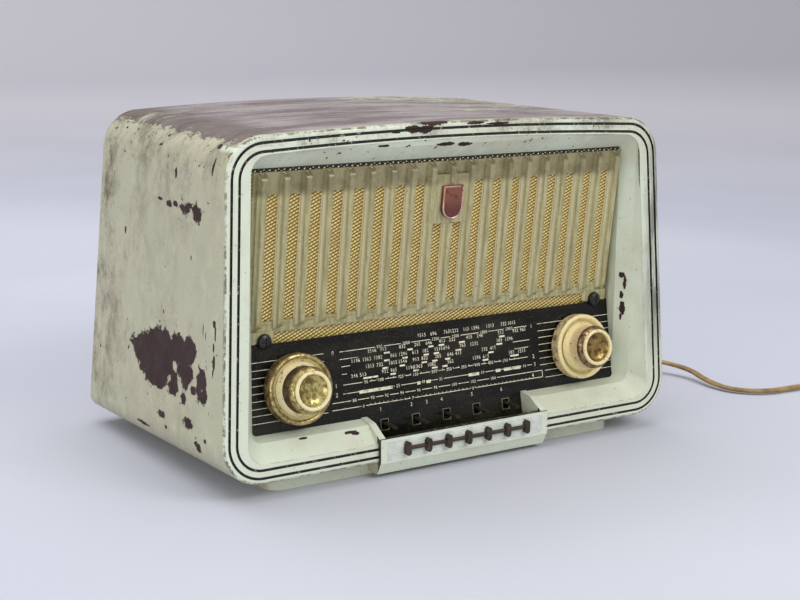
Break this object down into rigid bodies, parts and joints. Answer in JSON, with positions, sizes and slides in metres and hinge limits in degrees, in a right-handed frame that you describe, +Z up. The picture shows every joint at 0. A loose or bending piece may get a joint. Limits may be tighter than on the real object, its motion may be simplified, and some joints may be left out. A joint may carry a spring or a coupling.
{
  "type": "table radio",
  "caption": "Moulded table radio: crowned cabinet, ribbed grille leaning over a sloping dial, a pair of concentric knobs at each side, small keys below and a mains lead.",
  "frame": {"origin": "on the table under the middle of the cabinet and its fittings, not counting the mains lead", "axes": "+Z up, -Y towards the listener (the front), +X to the listener's right; at rest the volume and tone controls and the keys are at the start of their ranges and the pointer is at the left end of the dial"},
  "size_m": [0.5953, 0.4092, 0.2325],
  "materials": {
    "painted_bakelite": "worn paint over dark brown bakelite",
    "bronze_trim": "dull, tarnished",
    "grille_plastic": "translucent amber-olive, soft gloss",
    "gold_cloth": "woven, gold with dark specks",
    "board": "matte fibre board",
    "badge_metal": "plain, satin",
    "black_plastic": "satin",
    "dial_glass": "gloss, printed from behind",
    "plated_steel": "satin",
    "rod_steel": "bright",
    "pointer_red": "satin",
    "lamp_glass": "clear bulb in a metal holder",
    "knob_plastic": "aged cream plastic",
    "knob_gold": "worn gold lacquer",
    "phenolic": "satin brown",
    "magnet_iron": "dark, plated",
    "cone_paper": "matte black-brown paper",
    "transformer_iron": "varnished laminations",
    "valve_glass": "clear, silvered top",
    "electrode_metal": "dark grey",
    "can_aluminium": "bare",
    "ferrite": "matte, wound with waxed wire",
    "cord_pvc": "ochre-brown plastic twin flex"
  },
  "bodies": {
    "cabinet": {"aerial_earth_sockets": "phenolic", "aerial_mast": "phenolic", "badge": "badge_metal", "baffle_board": "board", "cabinet_shell": "painted_bakelite", "chassis": "plated_steel", "chassis_fixings": "plated_steel", "cord_coil": "cord_pvc", "cord_gland": "cord_pvc", "cord_plug": "phenolic", "cord_tail": "cord_pvc", "cover_screws": "plated_steel", "dial_back_plate": "plated_steel", "dial_glass": "dial_glass", "dial_lamps": "lamp_glass", "gang_frame": "plated_steel", "grille_cloth": "gold_cloth", "grille_moulding": "grille_plastic", "if_transformer_cans": "can_aluminium", "key_frame": "plated_steel", "mains_cord": "cord_pvc", "mains_transformer": "transformer_iron", "ornament_bar": "bronze_trim", "output_transformer": "transformer_iron", "pointer_rail": "rod_steel", "rear_cover": "board", "retaining_screws": "black_plastic", "smoothing_capacitor": "can_aluminium", "speaker_basket": "plated_steel", "speaker_cone": "cone_paper", "speaker_magnet": "magnet_iron", "valve_1": "valve_glass", "valve_2": "valve_glass", "valve_3": "valve_glass", "valve_4": "valve_glass", "valve_5": "valve_glass", "valve_electrodes": "electrode_metal", "valve_sockets": "phenolic", "voltage_selector": "phenolic", "volume_control": "phenolic"},
    "left_outer_control": {"left_outer_knob": "knob_plastic", "left_outer_spindle": "rod_steel"},
    "left_inner_control": {"left_inner_knob": "knob_plastic", "left_knob_trim": "knob_gold", "left_inner_spindle": "rod_steel"},
    "right_outer_control": {"right_outer_knob": "knob_plastic", "right_outer_spindle": "rod_steel"},
    "right_inner_control": {"right_inner_knob": "knob_plastic", "right_knob_trim": "knob_gold", "right_inner_spindle": "rod_steel"},
    "pointer": {"dial_pointer": "pointer_red"},
    "tuning_gang": {"gang_rotor": "can_aluminium", "drive_drum": "phenolic"},
    "ferrite_aerial": {"aerial_holder": "phenolic", "ferrite_rod": "ferrite"},
    "key_1": {"key_lever_1": "plated_steel"},
    "key_2": {"key_lever_2": "plated_steel"},
    "key_3": {"key_lever_3": "plated_steel"},
    "key_4": {"key_lever_4": "plated_steel"},
    "key_5": {"key_lever_5": "plated_steel"}
  },
  "joints": [
    {"name": "tone_turn", "type": "hinge", "parent": "cabinet", "child": "left_outer_control", "pos_m": [-0.1159, -0.08382, 0.06213], "axis": [0, 0.9861, -0.1661], "range_deg": [0, 270]},
    {"name": "volume_turn", "type": "hinge", "parent": "cabinet", "child": "left_inner_control", "pos_m": [-0.1159, -0.08382, 0.06213], "axis": [0, 0.9861, -0.1661], "range_deg": [0, 300]},
    {"name": "aerial_knob_turn", "type": "hinge", "parent": "cabinet", "child": "right_outer_control", "pos_m": [0.1159, -0.08382, 0.06213], "axis": [0, 0.9861, -0.1661], "range_deg": [-85, 85]},
    {"name": "tuning_turn", "type": "hinge", "parent": "cabinet", "child": "right_inner_control", "pos_m": [0.1159, -0.08382, 0.06213], "axis": [0, 0.9861, -0.1661], "range_deg": [0, 2990]},
    {"name": "pointer_slide", "type": "slide", "parent": "cabinet", "child": "pointer", "axis": [1, 0, 0], "range_m": [0, 0.157]},
    {"name": "gang_turn", "type": "hinge", "parent": "cabinet", "child": "tuning_gang", "pos_m": [0.06, -0.05125, 0.1005], "axis": [0, 1, 0], "range_deg": [0, 180]},
    {"name": "aerial_turn", "type": "hinge", "parent": "cabinet", "child": "ferrite_aerial", "pos_m": [0.04, 0.03875, 0.2], "axis": [0, 0, 1], "range_deg": [-85, 85]},
    {"name": "key_1_press", "type": "hinge", "parent": "cabinet", "child": "key_1", "pos_m": [-0.05024, -0.05925, 0.0303], "axis": [1, 0, 0], "range_deg": [0, 5], "stiffness_Nm_per_rad": 0.5, "springref_deg": -8.59},
    {"name": "key_2_press", "type": "hinge", "parent": "cabinet", "child": "key_2", "pos_m": [-0.02512, -0.05925, 0.0303], "axis": [1, 0, 0], "range_deg": [0, 5], "stiffness_Nm_per_rad": 0.5, "springref_deg": -8.59},
    {"name": "key_3_press", "type": "hinge", "parent": "cabinet", "child": "key_3", "pos_m": [0, -0.05925, 0.0303], "axis": [1, 0, 0], "range_deg": [0, 5], "stiffness_Nm_per_rad": 0.5, "springref_deg": -8.59},
    {"name": "key_4_press", "type": "hinge", "parent": "cabinet", "child": "key_4", "pos_m": [0.02512, -0.05925, 0.0303], "axis": [1, 0, 0], "range_deg": [0, 5], "stiffness_Nm_per_rad": 0.5, "springref_deg": -8.59},
    {"name": "key_5_press", "type": "hinge", "parent": "cabinet", "child": "key_5", "pos_m": [0.05024, -0.05925, 0.0303], "axis": [1, 0, 0], "range_deg": [0, 5], "stiffness_Nm_per_rad": 0.5, "springref_deg": -8.59}
  ],
  "couplings": [
    {"joint": "pointer_slide", "follows": "tuning_turn", "m_per_rad": 0.003},
    {"joint": "gang_turn", "follows": "tuning_turn", "ratio": 0.06},
    {"joint": "aerial_turn", "follows": "aerial_knob_turn", "ratio": -1}
  ]
}
